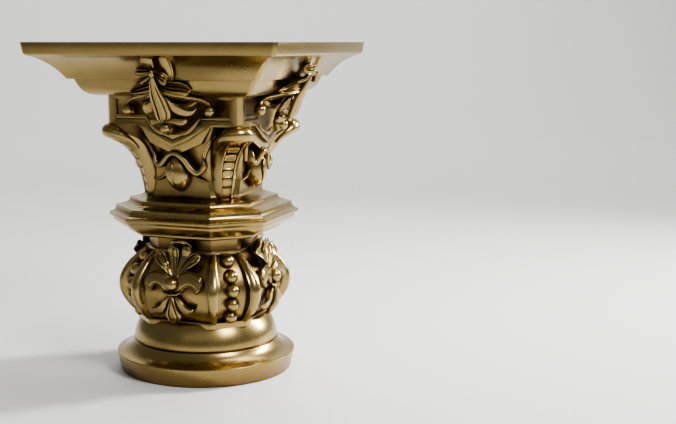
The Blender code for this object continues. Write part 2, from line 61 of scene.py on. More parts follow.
TOP = cad_box[1][2]
print("solid capital:", cad_box)

# %% [markdown]
# ## Sizes
# A moulded object is a stack of stages. Their heights, floor to top, and their half widths are the
# pattern maker's own numbers, the same as in the solid. Listing the heights and adding them up
# keeps every stage sitting on the one below.

# %% Heights and half widths of the stages, in metres
HEIGHTS = {"disc": 0.0284, "apron": 0.0166, "torus": 0.0408, "foot_plate": 0.0047, "drum": 0.1025,
           "collar": 0.0050, "neck": 0.0200, "ring": 0.0640, "bell": 0.1065, "frieze": 0.0432,
           "ovolo": 0.0243, "cove": 0.0353, "slab": 0.0187}
level = {"floor": 0.0}
reached = 0.0
for stage, height in HEIGHTS.items():
    reached += height
    level[stage] = reached
HALF = {"disc": 0.1413, "disc_foot": 0.1345, "torus": 0.1130, "torus_top": 0.0990,
        "foot_plate": 0.0935, "drum_foot": 0.0910, "drum": 0.1090, "drum_top": 0.0780,
        "collar": 0.0805, "neck": 0.0740, "ring": 0.1317, "waist": 0.0785, "bell_top": 0.0980,
        "frieze": 0.1095, "ovolo_foot": 0.1180, "cove_foot": 0.1535, "abacus": 0.2000}
OCTAGON_STEP = 0.0099  # the narrow faces of the eight-sided stages stand this much farther out
FRIEZE_CHAMFER, ABACUS_CHAMFER = 0.0060, 0.0050
CHANNEL_DEPTH = 0.0070
DRUM_STEPS = 18  # sections up the drum
print("stack height", round(reached, 4), "of", round(TOP, 4))

# %% [markdown]
# ## Drawing a face out
# Most of the object is a face that is extruded, reshaped, extruded again. By hand that is a circle
# with a filled face, and then E, S and G, many times. The helper below does the same with Blender's
# operators. Each corner of the first face carries its number, which an extrude copies, so the new
# corners can be put where the next section wants them.

# %% Helpers for selecting and extruding
def pick_nothing():
    if bpy.context.object and bpy.context.object.mode == "EDIT":
        bpy.ops.object.mode_set(mode="OBJECT")
    bpy.ops.object.select_all(action="DESELECT")


def pick(piece):
    pick_nothing()
    piece.select_set(True)
    bpy.context.view_layer.objects.active = piece


def put_corners(piece, ring):
    """Moves the selected corners to their places in the ring."""
    mesh = bmesh.from_edit_mesh(piece.data)
    number = mesh.verts.layers.int["corner"]
    for corner in mesh.verts:
        if corner.select:
            corner.co = ring[corner[number]]
    bmesh.update_edit_mesh(piece.data)


def draw_out(name, rings):
    """A closed piece through rings of corners, extruded one ring at a time from a filled circle."""
    pick_nothing()
    bpy.ops.mesh.primitive_circle_add(vertices=len(rings[0]), radius=0.01, fill_type="NGON")
    piece = bpy.context.object
    piece.name = piece.data.name = name
    bpy.ops.object.mode_set(mode="EDIT")
    bpy.ops.mesh.select_all(action="SELECT")
    mesh = bmesh.from_edit_mesh(piece.data)
    number = mesh.verts.layers.int.new("corner")
    for place, corner in enumerate(mesh.verts):
        corner[number] = place
    put_corners(piece, rings[0])
    for ring in rings[1:]:
        bpy.ops.mesh.extrude_region_move()
        put_corners(piece, ring)
    bpy.ops.mesh.select_all(action="SELECT")
    bpy.ops.mesh.normals_make_consistent(inside=False)
    bpy.ops.object.mode_set(mode="OBJECT")
    piece.data.attributes.remove(piece.data.attributes["corner"])
    return piece


def soft_edges(piece, degrees=35):
    pick(piece)
    bpy.ops.object.shade_smooth_by_angle(angle=math.radians(degrees))
    return piece


def worn_edges(piece, width, segments=2, degrees=24):
    """Rounds every edge sharper than an angle, as polishing does, and applies it."""
    bevel = piece.modifiers.new("worn edges", "BEVEL")
    bevel.width, bevel.segments = width, segments
    bevel.limit_method, bevel.angle_limit = "ANGLE", math.radians(degrees)
    bevel.miter_outer = "MITER_ARC"
    bevel.harden_normals = False
    pick(piece)
    bpy.ops.object.modifier_apply(modifier=bevel.name)
    return piece


# %% [markdown]
# ## Curves
# A moulding's profile is made of a few strokes, each with a start, an end and a pull, and an
# ornament's spine runs smoothly through the points that were measured. Two short functions give
# both. A spine also carries a half width and a half thickness at every point.

# %% Strokes and spines
def stroke(start, pull, end, steps):
    """Points of a curve from start, which is left out, to end, bent towards pull."""
    start, pull, end = Vector(start), Vector(pull), Vector(end)
    shares = [step / steps for step in range(1, steps + 1)]
    return [(1 - t) ** 2 * start + 2 * t * (1 - t) * pull + t ** 2 * end for t in shares]


def between(before, low, high, after, share):
    """The smooth curve through low and high, at a share of the way."""
    return 0.5 * (2 * low + share * (high - before)
                  + share ** 2 * (2 * before - 5 * low + 4 * high - after)
                  + share ** 3 * (3 * low - before - 3 * high + after))


def smooth_spine(stations, steps):
    """More stations between the given ones: a place, a half width and a half thickness each."""
    rows = [(*place, width, thickness) for place, width, thickness in stations]
    rows = [rows[0]] + rows + [rows[-1]]
    made = []
    for index in range(1, len(rows) - 2):
        for step in range(steps):
            made.append([between(*(rows[index + k][column] for k in (-1, 0, 1, 2)), step / steps)
                         for column in range(5)])
    made.append(list(rows[-1]))
    return [(Vector(row[:3]), max(row[3], 0.00005), max(row[4], 0.00005)) for row in made]


print("helpers ready")

# %% [markdown]
# ## Carved sections
# A leaf, a stem and a petal differ mostly in section. A relief says how high the front stands at
# each place across the leaf (-1 to 1) and along it (0 to 1). Carving this into the section costs
# no extra operators and keeps each leaf one closed skin.

# %% Reliefs across and along a leaf
def rise_and_fall(along, start=0.10, end=0.90):
    """0 at both tips and 1 between them."""
    up = min(max(along / start, 0.0), 1.0)
    down = min(max((1 - along) / (1 - end), 0.0), 1.0)
    return (3 * up ** 2 - 2 * up ** 3) * (3 * down ** 2 - 2 * down ** 3)


def plain(across, along):
    return 1.0


def dished(across, along):
    depth = rise_and_fall(along, 0.16, 0.86)
    return 1.0 + depth * (1.2 * across ** 2 - 0.65)


def scooped(across, along):
    """A bowl that goes below the leaf's own middle."""
    return 1.0 + rise_and_fall(along, 0.25, 0.80) * (1.9 * across ** 2 - 1.6)


def cored(across, along):
    """A flat rim, a cut channel and a raised core."""
    depth = rise_and_fall(along, 0.40, 0.92)
    return 1.0 - 0.75 * depth * math.exp(-((abs(across) - 0.52) / 0.11) ** 2)


def edged(across, along):
    """A plain face with a fine cut line just inside its edge."""
    depth = rise_and_fall(along, 0.20, 0.92)
    return 1.0 - 0.50 * depth * math.exp(-((abs(across) - 0.80) / 0.05) ** 2)


def grooved(across, along):
    return 1.0 - 0.55 * rise_and_fall(along) * math.exp(-(across / 0.20) ** 2)


def ribbed(across, along):
    return 0.90 + 0.34 * rise_and_fall(along, 0.12, 0.97) * math.cos(4 * math.pi * across)


print("reliefs ready")

# %% [markdown]
# ## Slim leaves and broad ones
# A stem or a stalk is known by its middle line, so a slim leaf follows a spine. The outline of a
# petal matters more than its middle line, so a broad leaf lies between two edges, each measured on
# its own. Both are rings of corners, which the helper above draws out.

# %% Leaf makers
FACE = Vector((0.0, -1.0, 0.0))


def leaf(name, stations, relief=plain, corners=20, steps=4, outward=FACE, side=None, square=1.0):
    """A carved bar or leaf along a spine. Its front looks outward, or its width runs along side.
    Below 1, square turns the round section towards a box with soft corners."""
    spine = smooth_spine(stations, steps)
    last = len(spine) - 1
    turns = [2 * math.pi * (corner + 0.5) / corners for corner in range(corners)]
    rings = []
    for index, (place, width, thickness) in enumerate(spine):
        along = spine[min(index + 1, last)][0] - spine[max(index - 1, 0)][0]
        if side is None:
            across = along.cross(outward)
        else:
            across = side - along * side.dot(along) / along.dot(along)
        across.normalize()
        front = across.cross(along).normalized()
        if side is not None and front.dot(outward) < 0:
            front.negate()
        ring = []
        for turn in turns:
            wide = math.copysign(abs(math.cos(turn)) ** square, math.cos(turn))
            high = math.copysign(abs(math.sin(turn)) ** square, math.sin(turn))
            if high > 0:
                high *= relief(wide, index / last)
            ring.append(place + across * width * wide + front * thickness * high)
        rings.append(ring)
    return soft_edges(draw_out(name, rings), 50)


def broad_leaf(name, rows, place, relief=edged, front=38, steps=5, square=0.6):
    """A leaf between two edges. Each row holds both edges' right and down, the lift and the half
    thickness, all in millimetres, and place turns right, down and lift into a point."""
    rows = [rows[0]] + list(rows) + [rows[-1]]
    smooth = [[between(*(rows[i + k][c] for k in (-1, 0, 1, 2)), step / steps) for c in range(6)]
              for i in range(1, len(rows) - 2) for step in range(steps)] + [list(rows[-1])]
    section = [(math.sin(math.pi * (step / front - 0.5)), 1) for step in range(front + 1)]
    section += [(0.8, -1), (0.3, -1), (-0.3, -1), (-0.8, -1)]
    rings = []
    for index, (right, down, far_right, far_down, lift, thickness) in enumerate(smooth):
        ring = []
        for wide, face in section:
            high = face * max(0.0, 1 - abs(wide) ** (2 / square)) ** (square / 2)
            if face > 0:
                high *= relief(wide, index / (len(smooth) - 1))
            share = 0.5 + 0.5 * wide
            ring.append(place(right + (far_right - right) * share, down + (far_down - down) * share,
                              lift + thickness * high))
        rings.append(ring)
    return soft_edges(draw_out(name, rings), 50)


print("leaf makers ready")

# %% [markdown]
# ## Gathering and repeating
# Every ornament is modelled once, on the front, as several overlapping leaves that are joined into
# one mesh. The other three sides get copies, each with its own mesh turned about the axis, so the
# objects themselves stay at the origin, unturned. A leaf that has a twin on the left is drawn again
# along the mirrored spine, because a mirrored mesh would be turned inside out.

# %% Join, mirror and repeat
made_pieces = []


def joined(name, pieces):
    pick_nothing()
    for piece in pieces:
        piece.select_set(True)
    bpy.context.view_layer.objects.active = pieces[0]
    if len(pieces) > 1:
        bpy.ops.object.join()
    whole = bpy.context.object
    whole.name = whole.data.name = name
    made_pieces.append(whole)
    return whole


def mirror_of(stations):
    return [(Vector((-place.x, place.y, place.z)), width, thickness)
            for place, width, thickness in stations]


def on_both_sides(name, stations, **how):
    return [leaf(name + "_right", stations, **how),
            leaf(name + "_left", mirror_of(stations), **how)]


def turned_copy(piece, name, degrees):
    pick(piece)
    bpy.ops.object.duplicate(linked=False)
    copy = bpy.context.object
    copy.name = copy.data.name = name
    bpy.ops.object.mode_set(mode="EDIT")
    bpy.ops.mesh.select_all(action="SELECT")
    bpy.ops.transform.rotate(value=-math.radians(degrees), orient_axis="Z", orient_type="GLOBAL",
                             center_override=(0.0, 0.0, 0.0))
    bpy.ops.object.mode_set(mode="OBJECT")
    made_pieces.append(copy)
    return copy


def on_all_sides(piece):
    for side, degrees in (("right", 90), ("back", 180), ("left", 270)):
        turned_copy(piece, piece.name + "_" + side, degrees)


print("repeats ready")

# %% [markdown]
# ## The moulded body
# The plain stages are square or eight-sided. A lathe can't make them and a bevelled cube would lose
# the hollow curves, so one eight-cornered face is drawn up from the foot plate to the table,
# through every edge of the profile. The wide faces look front, right, back and left.

# %% Sections of the stages
def eight_corners(half, flat, height):
    corners = [(flat, -half), (half, -flat), (half, flat), (flat, half)]
    corners += [(-x, -y) for x, y in corners]
    return [Vector((x, y, height)) for x, y in corners]


def octagon(half, height):
    return eight_corners(half, math.sqrt(2) * (half + OCTAGON_STEP) - half, height)


def share_of(height, stage, below):
    return min(max((height - level[below]) / HEIGHTS[stage], 0.0), 1.0)


def drum_half(height):
    t = share_of(height, "drum", "foot_plate")
    swell = 4 * (HALF["drum"] - (HALF["drum_foot"] + HALF["drum_top"]) / 2)
    return HALF["drum_foot"] * (1 - t) + HALF["drum_top"] * t + swell * t * (1 - t)


def drum_flat(height):
    return 0.42 * drum_half(height) + 0.0165


def channel_floor(height):
    """How far the floor of the beads' channel is from the axis, towards a corner."""
    return (drum_half(height) + drum_flat(height)) * math.sqrt(0.5) - CHANNEL_DEPTH


def bell_half(height):
    t = share_of(height, "bell", "ring")
    return HALF["waist"] + (HALF["bell_top"] - HALF["waist"]) * t ** 2


def bell_flat(height):
    t = share_of(height, "bell", "ring")
    foot = math.sqrt(2) * (HALF["waist"] + OCTAGON_STEP) - HALF["waist"]
    pull = 2 * 0.0425 - (foot + 0.0610) / 2
    return (1 - t) ** 2 * foot + 2 * t * (1 - t) * pull + t ** 2 * 0.0610


def ring_edge(out, up):
    """An edge of the eight-sided ring: shares of its reach past the neck and of its height."""
    return Vector((HALF["neck"] + (HALF["ring"] - HALF["neck"]) * out,
                   level["neck"] + HEIGHTS["ring"] * up))


fillet = Vector((0.0, 0.0022))
lip, wide_low, wide = ring_edge(0.53, 0.05), ring_edge(0.90, 0.32), ring_edge(1.0, 0.42)
second, first = ring_edge(0.83, 0.64), ring_edge(0.48, 0.82)
ring_profile = [ring_edge(0.40, 0.0), lip, lip + fillet]
ring_profile += stroke(lip + fillet, ring_edge(0.74, 0.16), wide_low, 6)
ring_profile += [wide_low + fillet, wide, wide + 2 * fillet]
ring_profile += stroke(wide + 2 * fillet, ring_edge(0.83, 0.53), second, 6)
ring_profile += [second + fillet]
ring_profile += stroke(second + fillet, ring_edge(0.53, 0.70), first, 7)
ring_profile += [first + fillet]
ring_profile += stroke(first + fillet, ring_edge(0.14, 0.88), (HALF["waist"], level["ring"]), 7)

ovolo_foot = Vector((HALF["ovolo_foot"], level["frieze"]))
ovolo_top = Vector((HALF["cove_foot"] - 0.0085, level["ovolo"]))
cove_foot = Vector((HALF["cove_foot"], level["ovolo"] + 0.0006))
cove_top = Vector((HALF["abacus"] - 0.0050, level["cove"]))
abacus_profile = [ovolo_foot]
abacus_profile += stroke(ovolo_foot, (ovolo_top.x - 0.0065, level["frieze"]), ovolo_top, 8)
abacus_profile += [cove_foot]
abacus_profile += stroke(cove_foot, (0.6 * cove_foot.x + 0.4 * cove_top.x, level["cove"] - 0.0075),
                         cove_top, 10)
abacus_profile += [Vector((HALF["abacus"] - 0.0025, level["cove"] + 0.0025)),
                   Vector((HALF["abacus"], TOP))]
print("ring edges", len(ring_profile), "abacus edges", len(abacus_profile))

# %% Draw the body up through its stages
sections = [octagon(HALF["foot_plate"], level["torus"] - 0.004),
            octagon(HALF["foot_plate"], level["foot_plate"])]
for step in range(DRUM_STEPS + 1):
    height = level["foot_plate"] + HEIGHTS["drum"] * step / DRUM_STEPS
    sections.append(eight_corners(drum_half(height), drum_flat(height), height))
sections += [octagon(HALF["collar"], level["drum"]), octagon(HALF["collar"], level["collar"])]
sections += [octagon(HALF["neck"], level["collar"]), octagon(HALF["neck"], level["neck"])]
sections += [octagon(edge.x, edge.y) for edge in ring_profile]
for step in range(1, 13):
    height = level["ring"] + HEIGHTS["bell"] * step / 12
    sections.append(eight_corners(bell_half(height), bell_flat(height), height))
frieze_flat = HALF["frieze"] - FRIEZE_CHAMFER
sections += [eight_corners(HALF["frieze"], frieze_flat, level["bell"]),
             eight_corners(HALF["frieze"], frieze_flat, level["frieze"])]
sections += [eight_corners(edge.x, edge.x - ABACUS_CHAMFER, edge.y) for edge in abacus_profile]
body = draw_out("moulded_body", sections)
print("body", len(body.data.polygons), "faces")

# %% [markdown]
# ## The frieze panels
# Each side of the frieze has a sunk panel whose lower edge dips in a keel-shaped drop, with a
# narrow band between two cut lines round it. A shield stands behind the drop. The shields are added
# and the panels cut with Booleans, because the cut runs across both the block and the shield.

# %% Shields, and cutters for the panels
PANEL_HALF, DROP_HALF, DROP = 0.0920, 0.0445, 0.0230
BAND, LINE = 0.0068, 0.0015  # widths of the band round the panel and of the cut line outside it


def slab_of(name, outline, back, front):
    """A flat plate in front of the front face: an outline of (across, height), back to front."""
    whole = outline + [(-across, height) for across, height in reversed(outline) if across]
    return draw_out(name, [[Vector((u, -out, z)) for u, z in whole] for out in (back, front)])


def drop_edge(top, grow):
    """The panel's outline with its drop, from the left end to the middle, widened by grow."""
    low = level["bell"] + 0.0083 - grow
    knee = DROP_HALF + 0.25 * grow
    tip = low - DROP - BAND - 0.25 * grow
    edge = [(-PANEL_HALF, top), (-PANEL_HALF, low), (-knee, low)]
    pull = (-0.72 * knee, low - 0.78 * (low - tip))
    bend = (-0.35 * knee, low - 0.80 * (low - tip))
    edge += [tuple(point) for point in stroke((-knee, low), pull, bend, 8)]
    return edge + [(0.0, tip)]


def four_sided(piece):
    """The piece and its three turned copies, as one object that a Boolean can use."""
    turned = [piece]
    for degrees in (90, 180, 270):
        turned.append(turned_copy(piece, piece.name + "_turned", degrees))
        made_pieces.pop()
    whole = joined(piece.name, turned)
    made_pieces.pop()
    return whole


def combine(target, other, operation):
    cut = target.modifiers.new(other.name, "BOOLEAN")
    cut.operation, cut.object, cut.solver, cut.use_self = operation, other, "EXACT", True
    pick(target)
    bpy.ops.object.modifier_apply(modifier=cut.name)
    bpy.data.objects.remove(other)


low = level["bell"] + 0.0010
wide_half = DROP_HALF + 0.0154
tip_height = level["bell"] - DROP - 0.0077
shield = [(-wide_half, low), (-0.78 * wide_half, level["bell"] - 0.0063)]
shield += [(-0.42 * wide_half, level["bell"] - 0.0200), (0.0, tip_height)]
gable = [(-wide_half, low + 0.001), (-0.70 * wide_half, level["bell"] - 0.0260),
         (0.0, tip_height - 0.0130)]
panel_top = level["frieze"] - 0.0040
plates = [slab_of("shield", shield, HALF["bell_top"] - 0.012, HALF["frieze"] + 0.0004),
          slab_of("gable", gable, HALF["waist"], HALF["frieze"] - 0.0090)]
for plate in plates:
    combine(body, four_sided(plate), "UNION")
past_front = HALF["frieze"] + 0.012
outer_line = slab_of("outer_line", drop_edge(panel_top, 0.0), HALF["frieze"] - 0.0026,
                     past_front)
band_face = slab_of("band_face", drop_edge(panel_top + 0.0010, -LINE), HALF["frieze"] - 0.0060,
                    HALF["frieze"] - 0.0004)
inner_line = slab_of("inner_line", drop_edge(panel_top - 0.0010, -BAND),
                     HALF["frieze"] - 0.0036, past_front)
for tool, operation in ((outer_line, "DIFFERENCE"), (band_face, "UNION"),
                        (inner_line, "DIFFERENCE")):
    combine(body, four_sided(tool), operation)
print("body with panels", len(body.data.polygons), "faces")

# %% [markdown]
# ## Channels and worn edges
# The beads of the drum lie in a channel on each narrow face. Its floor follows the drum's swell, so
# the cutter is drawn along the same curve as the drum. After this last cut every hard edge of the
# body is rounded a little, because a casting that is polished keeps no knife edge.

# %% Sink the channels and round the edges
def on_corner(across, reach, height):
    """A point on the corner between the front and the right face."""
    turn = math.sqrt(0.5)
    return Vector((turn * (across + reach), turn * (across - reach), height))


channel_rings = []
for step in range(DRUM_STEPS + 1):
    height = level["foot_plate"] + HEIGHTS["drum"] * step / DRUM_STEPS
    half = 0.80 * (drum_half(height) - drum_flat(height)) * math.sqrt(0.5)
    near, far = channel_floor(height), channel_floor(height) + 0.030
    channel_rings.append([on_corner(across, reach, height) for across, reach in
                          ((-half, near), (half, near), (half, far), (-half, far))])
combine(body, four_sided(draw_out("channel", channel_rings)), "DIFFERENCE")
worn_edges(body, 0.0005, 2, 14)
soft_edges(body, 40)
made_pieces.append(body)
print("finished body", len(body.data.polygons), "faces")

# %% [markdown]
# ## The round base
# The base is turned: a sloping disc, a hollow apron and a swelling cushion. It is the only part
# that a lathe could cut, so its face is a circle of many corners, and each step of the profile is
# one extrude and one scale about the axis.

# %% Turn the base
cushion_lip = Vector((HALF["torus"] + 0.0020, level["apron"]))
rim = Vector((HALF["disc"] - 0.0018, level["disc"] + 0.0010))
groove = Vector((HALF["torus"] - 0.0020, level["apron"] + 0.0022))
swell = Vector((HALF["torus"], level["apron"] + 0.0060))
base_profile = [Vector((HALF["disc_foot"], 0.0)),
                Vector((HALF["disc"] - 0.0006, level["disc"] - 0.0030))]
base_profile += stroke(base_profile[-1], (HALF["disc"] + 0.0006, level["disc"] + 0.0008), rim, 4)
base_profile += stroke(rim, (cushion_lip.x + 0.008, level["disc"] + 0.0035), cushion_lip, 8)
base_profile += [cushion_lip + Vector((-0.0006, 0.0014)), groove]
base_profile += stroke(groove, (HALF["torus"] - 0.0002, level["apron"] + 0.0028), swell, 3)
base_profile += stroke(swell, (HALF["torus"] - 0.0005, level["apron"] + 0.6 * HEIGHTS["torus"]),
                       (HALF["torus_top"], level["torus"] + 0.5 * HEIGHTS["foot_plate"]), 12)
pick_nothing()
bpy.ops.mesh.primitive_circle_add(vertices=128, radius=base_profile[0].x, fill_type="NGON")
base = bpy.context.object
base.name = base.data.name = "round_base"
bpy.ops.object.mode_set(mode="EDIT")
bpy.ops.mesh.select_all(action="SELECT")
for before, after in zip(base_profile, base_profile[1:]):
    bpy.ops.mesh.extrude_region_move(TRANSFORM_OT_translate={"value": (0, 0, after.y - before.y)})
    grow = after.x / before.x
    bpy.ops.transform.resize(value=(grow, grow, 1.0), center_override=(0.0, 0.0, after.y))
bpy.ops.mesh.select_all(action="SELECT")
bpy.ops.mesh.normals_make_consistent(inside=False)
bpy.ops.object.mode_set(mode="OBJECT")
soft_edges(worn_edges(base, 0.0005), 40)
made_pieces.append(base)
print("base", len(base.data.polygons), "faces")

# %% [markdown]
# ## The corner brackets
# A strap stands on each corner of the bell, leans out and rolls over under the frieze. Its front is
# sunk between two rims and carries six square coins, one above the other. A bar bent by a modifier
# would lose the sloping cheeks, so the strap is one section drawn along its spine. The lip is a
# round bar of its own, bent like a horseshoe round the strap's head.

# %% The strap's sections
REACH, COINS = 0.1605, 6
COIN_PITCH, COIN_HALF = 0.0127, 0.0059
STRAP_STEPS = 16  # sections from the strap's foot to its roll
strap_foot = Vector((HALF["waist"] + 0.0160, level["ring"] - 0.002))
strap_high = Vector((REACH - 0.0185, level["bell"] - 0.0255))
front_line = [strap_foot] + stroke(strap_foot, (strap_foot.x + 0.0065, level["bell"] - 0.041),
                                   strap_high, STRAP_STEPS)
heel = Vector((HALF["waist"] + 0.0040, strap_foot.y))
throat = Vector((REACH - 0.0200, level["bell"] - 0.0128))
back_line = [heel] + stroke(heel, (heel.x + 0.004, level["bell"] - 0.0165), throat, STRAP_STEPS)
corner_top = Vector((REACH, level["bell"]))
# the roll, out and up from the corner's top
roll_front = [(-0.0185, -0.0255), (-0.0125, -0.0215), (-0.0080, -0.0160), (-0.0062, -0.0105),
              (-0.0066, -0.0050), (-0.0084, -0.0012), (-0.0112, 0.0002)]
roll_back = [(-0.0200, -0.0128), (-0.0188, -0.0080), (-0.0172, -0.0050), (-0.0158, -0.0032),
             (-0.0146, -0.0020), (-0.0134, -0.0010), (-0.0122, -0.0002)]


def smooth_line(points, steps):
    rows = [points[0]] + list(points) + [points[-1]]
    line = [Vector([between(*(rows[i + k][c] for k in (-1, 0, 1, 2)), step / steps)
                    for c in (0, 1)])
            for i in range(1, len(rows) - 2) for step in range(steps)]
    return line + [Vector(points[-1])]


front_line += [corner_top + point for point in smooth_line(roll_front, 3)[1:]]
back_line += [corner_top + point for point in smooth_line(roll_back, 3)[1:]]
strap_rings = []
for number, (before, behind) in enumerate(zip(front_line, back_line)):
    share = (before.y - strap_foot.y) / (level["bell"] - strap_foot.y)
    half = 0.0095 + 0.0065 * share
    past = max(0, number - STRAP_STEPS) / (len(front_line) - STRAP_STEPS - 1)
    half *= 1.0 - 0.30 * past ** 3
    depth = (before - behind).length
    flare = min(0.0080 + 0.0060 * share, 0.7 * depth) * (1.0 - 0.6 * past)
    sunk = 0.24 * (1 - min(1.0, max(0.0, (share - 0.90) / 0.08)))
    section = [(half + flare, 1.0), (half + 0.86 * flare, 0.72), (half + 0.45 * flare, 0.34),
               (1.03 * half, 0.08), (0.93 * half, 0.0), (0.80 * half, 0.02), (0.74 * half, sunk)]
    section += [(-across, back) for across, back in reversed(section)]
    strap_rings.append([on_corner(across, *before.lerp(behind, back)) for across, back in section])
strap = soft_edges(worn_edges(draw_out("strap", strap_rings), 0.0004, 2, 40), 45)
print("strap", len(strap.data.polygons), "faces")

# %% The web behind the strap, and the coins
web_line = [behind.lerp(before, 0.35) for before, behind in zip(front_line[4:19], back_line[4:19])]
web_line += [Vector((throat.x + 0.006, level["bell"] + 0.001)),
             Vector((back_line[4].x - 0.02, level["bell"] + 0.001))]
web = draw_out("web", [[on_corner(side * 0.009, point.x, point.y) for point in web_line]
                       for side in (-1, 1)])
# millimetres: across, out from the axis, below the top, radius
lip_line = [(-22.5, 112.0, 159.0, 0.6), (-22.5, 121.5, 148.5, 3.8), (-21.0, 132.0, 141.0, 6.6),
            (-17.0, 142.0, 135.5, 9.0), (-10.0, 148.5, 132.5, 10.6), (0.0, 150.5, 131.6, 11.2)]
lip_line += [(-across, *rest) for across, *rest in reversed(lip_line[:-1])]
lip_spine = [(on_corner(across / 1000, reach / 1000, TOP - down / 1000), size / 1000, size / 1000)
             for across, reach, down, size in lip_line]
strap_lip = leaf("strap_lip", lip_spine, outward=Vector((math.sqrt(0.5), -math.sqrt(0.5), 0.0)),
                 steps=6, corners=28)
coins = []
for coin in range(COINS):
    seat = strap_foot.y + 0.0095 + COIN_PITCH * coin
    index = min(range(STRAP_STEPS + 1), key=lambda i: abs(front_line[i].y - seat))
    low_point, high_point = front_line[max(index - 1, 0)], front_line[index + 1]
    run = (high_point - low_point).normalized()
    normal = Vector((run.y, -run.x))
    middle = front_line[index] + run * (seat - front_line[index].y) / max(run.y, 0.2)
    share = (middle.y - strap_foot.y) / (level["bell"] - strap_foot.y)
    half = 0.70 * (0.0095 + 0.0065 * share)
    rings = []
    for rise, grow in ((-0.007, 1.0), (-0.0012, 1.0), (-0.0006, 0.94), (-0.0004, 0.78),
                       (-0.0012, 0.66)):
        ring = []
        for corner in range(16):
            turn = math.pi / 8 * (corner + 0.5)
            u = math.copysign(abs(math.cos(turn)) ** 0.35, math.cos(turn))
            w = math.copysign(abs(math.sin(turn)) ** 0.35, math.sin(turn))
            point = middle + run * w * COIN_HALF * grow + normal * rise
            ring.append(on_corner(u * half * grow, point.x, point.y))
        rings.append(ring)
    coins.append(soft_edges(draw_out("coin", rings), 30))
bracket = joined("bracket", [strap, web, strap_lip] + coins)
on_all_sides(bracket)
print("brackets done:", len(bracket.data.polygons), "faces each")

# %% [markdown]
# ## The spray
# Over each side of the frieze hangs a spray: a twin stem under the slab, two ribbed bows, a long
# teardrop pendant, curling leaves, and two stalks that end in balls. It is free of the wall, so
# each leaf is a closed piece of its own that grows out of the knot, and a keel behind ties them to
# the top.

# %% Where the spray's points are
def spot(right, out, down):
    """A place in millimetres: right of the axis, out in front of it, below the top."""
    return Vector((right / 1000, -out / 1000, TOP - down / 1000))


def spine(*stations):
    """Stations in millimetres: right, out, down, half width, half thickness."""
    return [(spot(*station[:3]), station[3] / 1000, station[4] / 1000) for station in stations]


def bead(name, place, radius):
    """A cast ball: a sphere whose back is drawn out into a small round seat."""
    pick_nothing()
    bpy.ops.mesh.primitive_uv_sphere_add(segments=24, ring_count=14, radius=radius, location=place)
    ball = bpy.context.object
    ball.name = name
    bpy.ops.object.transform_apply(location=True)
    outward = Vector((place.x, place.y, 0.0)).normalized()
    bpy.ops.object.mode_set(mode="EDIT")
    bpy.ops.mesh.select_all(action="DESELECT")
    mesh = bmesh.from_edit_mesh(ball.data)
    for face in mesh.faces:
        if (face.calc_center_median() - place).dot(outward) < -0.35 * radius:
            face.select_set(True)
    bmesh.update_edit_mesh(ball.data)
    sink = tuple(-0.25 * radius * outward)
    bpy.ops.mesh.extrude_region_move(TRANSFORM_OT_translate={"value": sink})
    bpy.ops.transform.resize(value=(1.12, 1.12, 1.12),
                             center_override=tuple(place - 0.6 * radius * outward))
    bpy.ops.object.mode_set(mode="OBJECT")
    return soft_edges(ball, 60)


print("places and balls ready")

# %% Stems, bows and pendant
keel_line = [(188, 14), (178, 36), (166, 44), (150, 62), (136, 84), (122, 100), (98, 98), (98, 70),
             (118, 58), (138, 34), (158, 14)]
keel = draw_out("keel", [[spot(side * 7.0, out, down) for out, down in keel_line]
                         for side in (-1, 1)])
worn_edges(keel, 0.0012, 2, 20)


def in_front(right, down, lift):
    return spot(right, lift, down)


def broad_leaves(place, leaves, **how):
    """Broad leaves of one kind, from their names and rows."""
    return [broad_leaf(name, rows, place, **how) for name, rows in leaves.items()]


stems = broad_leaves(in_front, {
    "left_stem": [(-16, 12, 5, 12, 181, 6), (-16, 22, 6, 22, 179, 6.4), (-15, 32, 6, 32, 175, 6),
                  (-10, 40, 5, 40, 171, 5), (-4, 46, 3, 46, 168, 2)],
    "right_stem": [(15, 12, 32, 12, 182, 7), (15, 24, 33, 24, 179, 7.4), (16, 36, 34, 36, 173, 7),
                   (17, 46, 32, 46, 166, 6), (20, 54, 28, 54, 160, 2)]}, square=1.0)
bows = broad_leaves(in_front, {
    "left_bow": [(4, 41, 4, 44, 176, 3), (1, 32, 0, 46, 179, 4.6), (-6, 29, -9, 48, 180, 5),
                 (-16, 31, -19, 47, 178, 4.4), (-24, 36, -25, 43, 174, 1.5)],
    "right_bow": [(6, 43, 7, 45, 176, 3), (15, 42, 13, 50, 178, 4.6), (22, 42, 16, 57, 177, 5),
                  (26, 46, 21, 60, 173, 4.4), (25, 52, 23, 57, 168, 1.5)]},
    relief=ribbed, square=0.85)
bows += broad_leaves(in_front, {
    "left_loop": [(1, 45, 1, 47, 174, 2), (-7, 49, -5, 54, 172, 4), (-16, 53, -15, 59, 168, 4),
                  (-22, 57, -21, 60, 164, 1.5)]})
pendant = broad_leaf("pendant", [
    (2, 45, 6, 46, 176, 2.5), (-2, 54, 7, 55, 172, 4), (-6, 65, 9, 66, 166, 5),
    (-9, 76, 13, 77, 160, 5.4), (-9, 88, 16, 88, 154, 5.6), (-8, 99, 18, 100, 149, 5.6),
    (-6, 109, 15, 109, 145, 5), (-1, 115, 6, 115, 142, 2)], in_front, relief=cored)
knot = leaf("knot", spine((4, 180, 38, 1.2, 2.0), (4, 180, 42, 4.0, 3.6), (4, 178, 46, 4.2, 3.8),
                          (4, 175, 50, 1.0, 1.6)))
print("spray: stems, bows and pendant")

